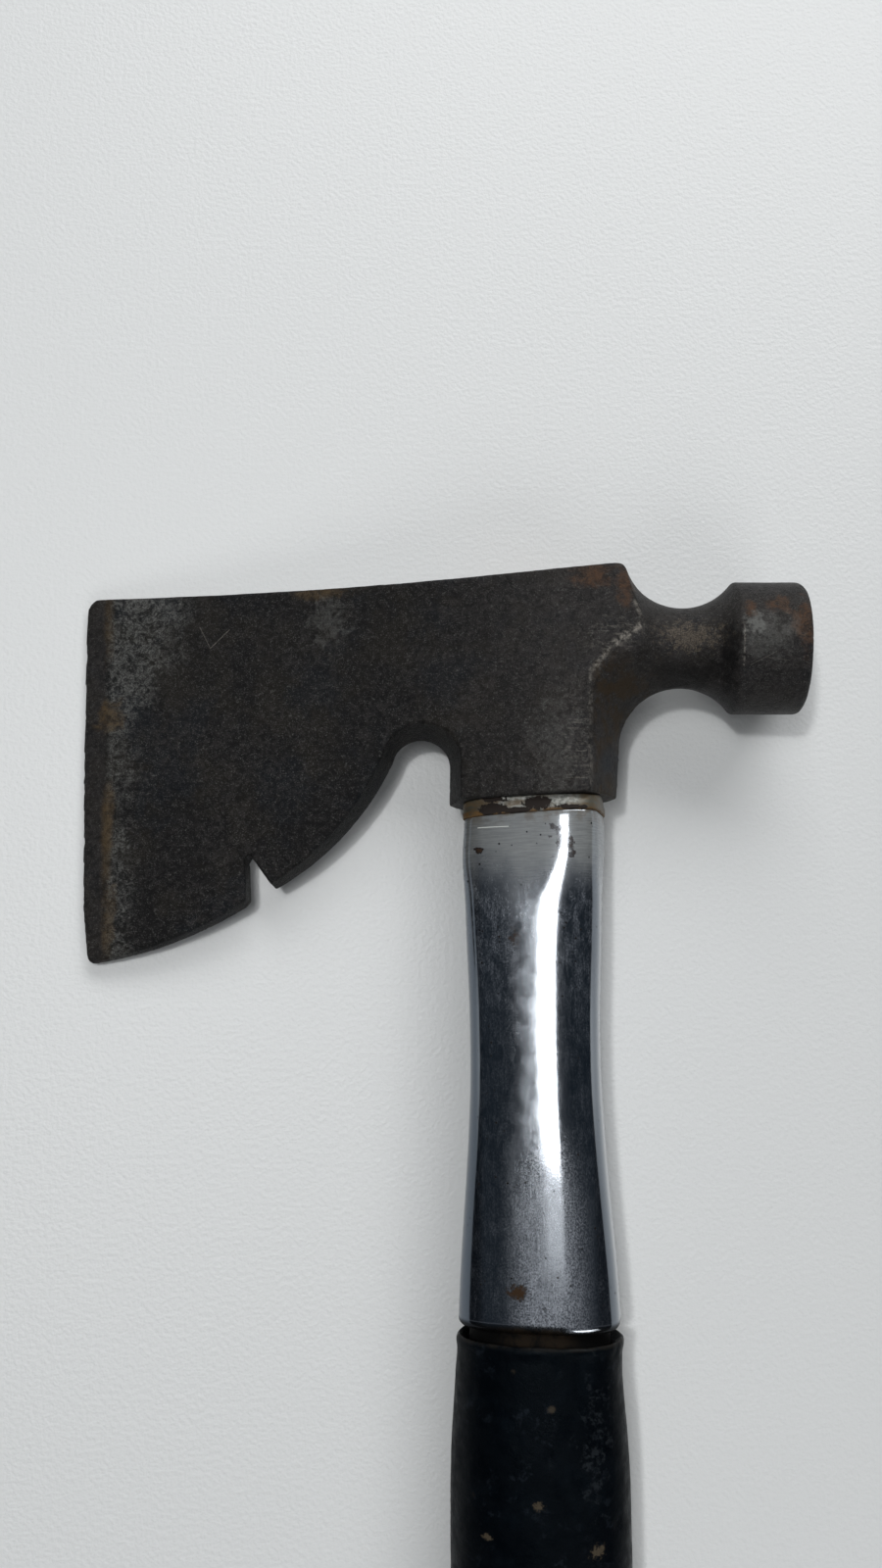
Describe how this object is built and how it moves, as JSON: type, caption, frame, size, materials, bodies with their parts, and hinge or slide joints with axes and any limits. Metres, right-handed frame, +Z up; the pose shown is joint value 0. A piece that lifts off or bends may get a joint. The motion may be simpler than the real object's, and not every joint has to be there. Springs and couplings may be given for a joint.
{
  "type": "half hatchet",
  "caption": "Forged half hatchet with a round hammer poll and a nail slot, on an oval tubular steel handle with a rubber grip.",
  "frame": {"origin": "on the ground under the middle of the hatchet, which lies on its side", "axes": "+Y along the handle towards the head, +X from the blade to the poll, +Z up; the hatchet rests on its blade's upper corner, its cheek and its grip, so the blade's plane leans about 6 degrees"},
  "size_m": [0.1786, 0.333, 0.0364],
  "materials": {
    "forged_head": "forged, dark brown patina with rust stains and a bare worn band by the edge",
    "plated_tube": "polished plating with fine pits and rust specks",
    "collar_steel": "dull bare metal with brown rust flakes",
    "core_wood": "aged end grain",
    "wedge_steel": "rusty",
    "grip_rubber": "semi-gloss black rubber, scuffed",
    "plug_wood": "plain turned wood"
  },
  "bodies": {
    "root": {"head": "forged_head", "handle_tube": "plated_tube", "neck_collar": "collar_steel", "core_plug": "core_wood", "head_wedge": "wedge_steel", "grip": "grip_rubber", "butt_plug": "plug_wood"}
  },
  "joints": []
}
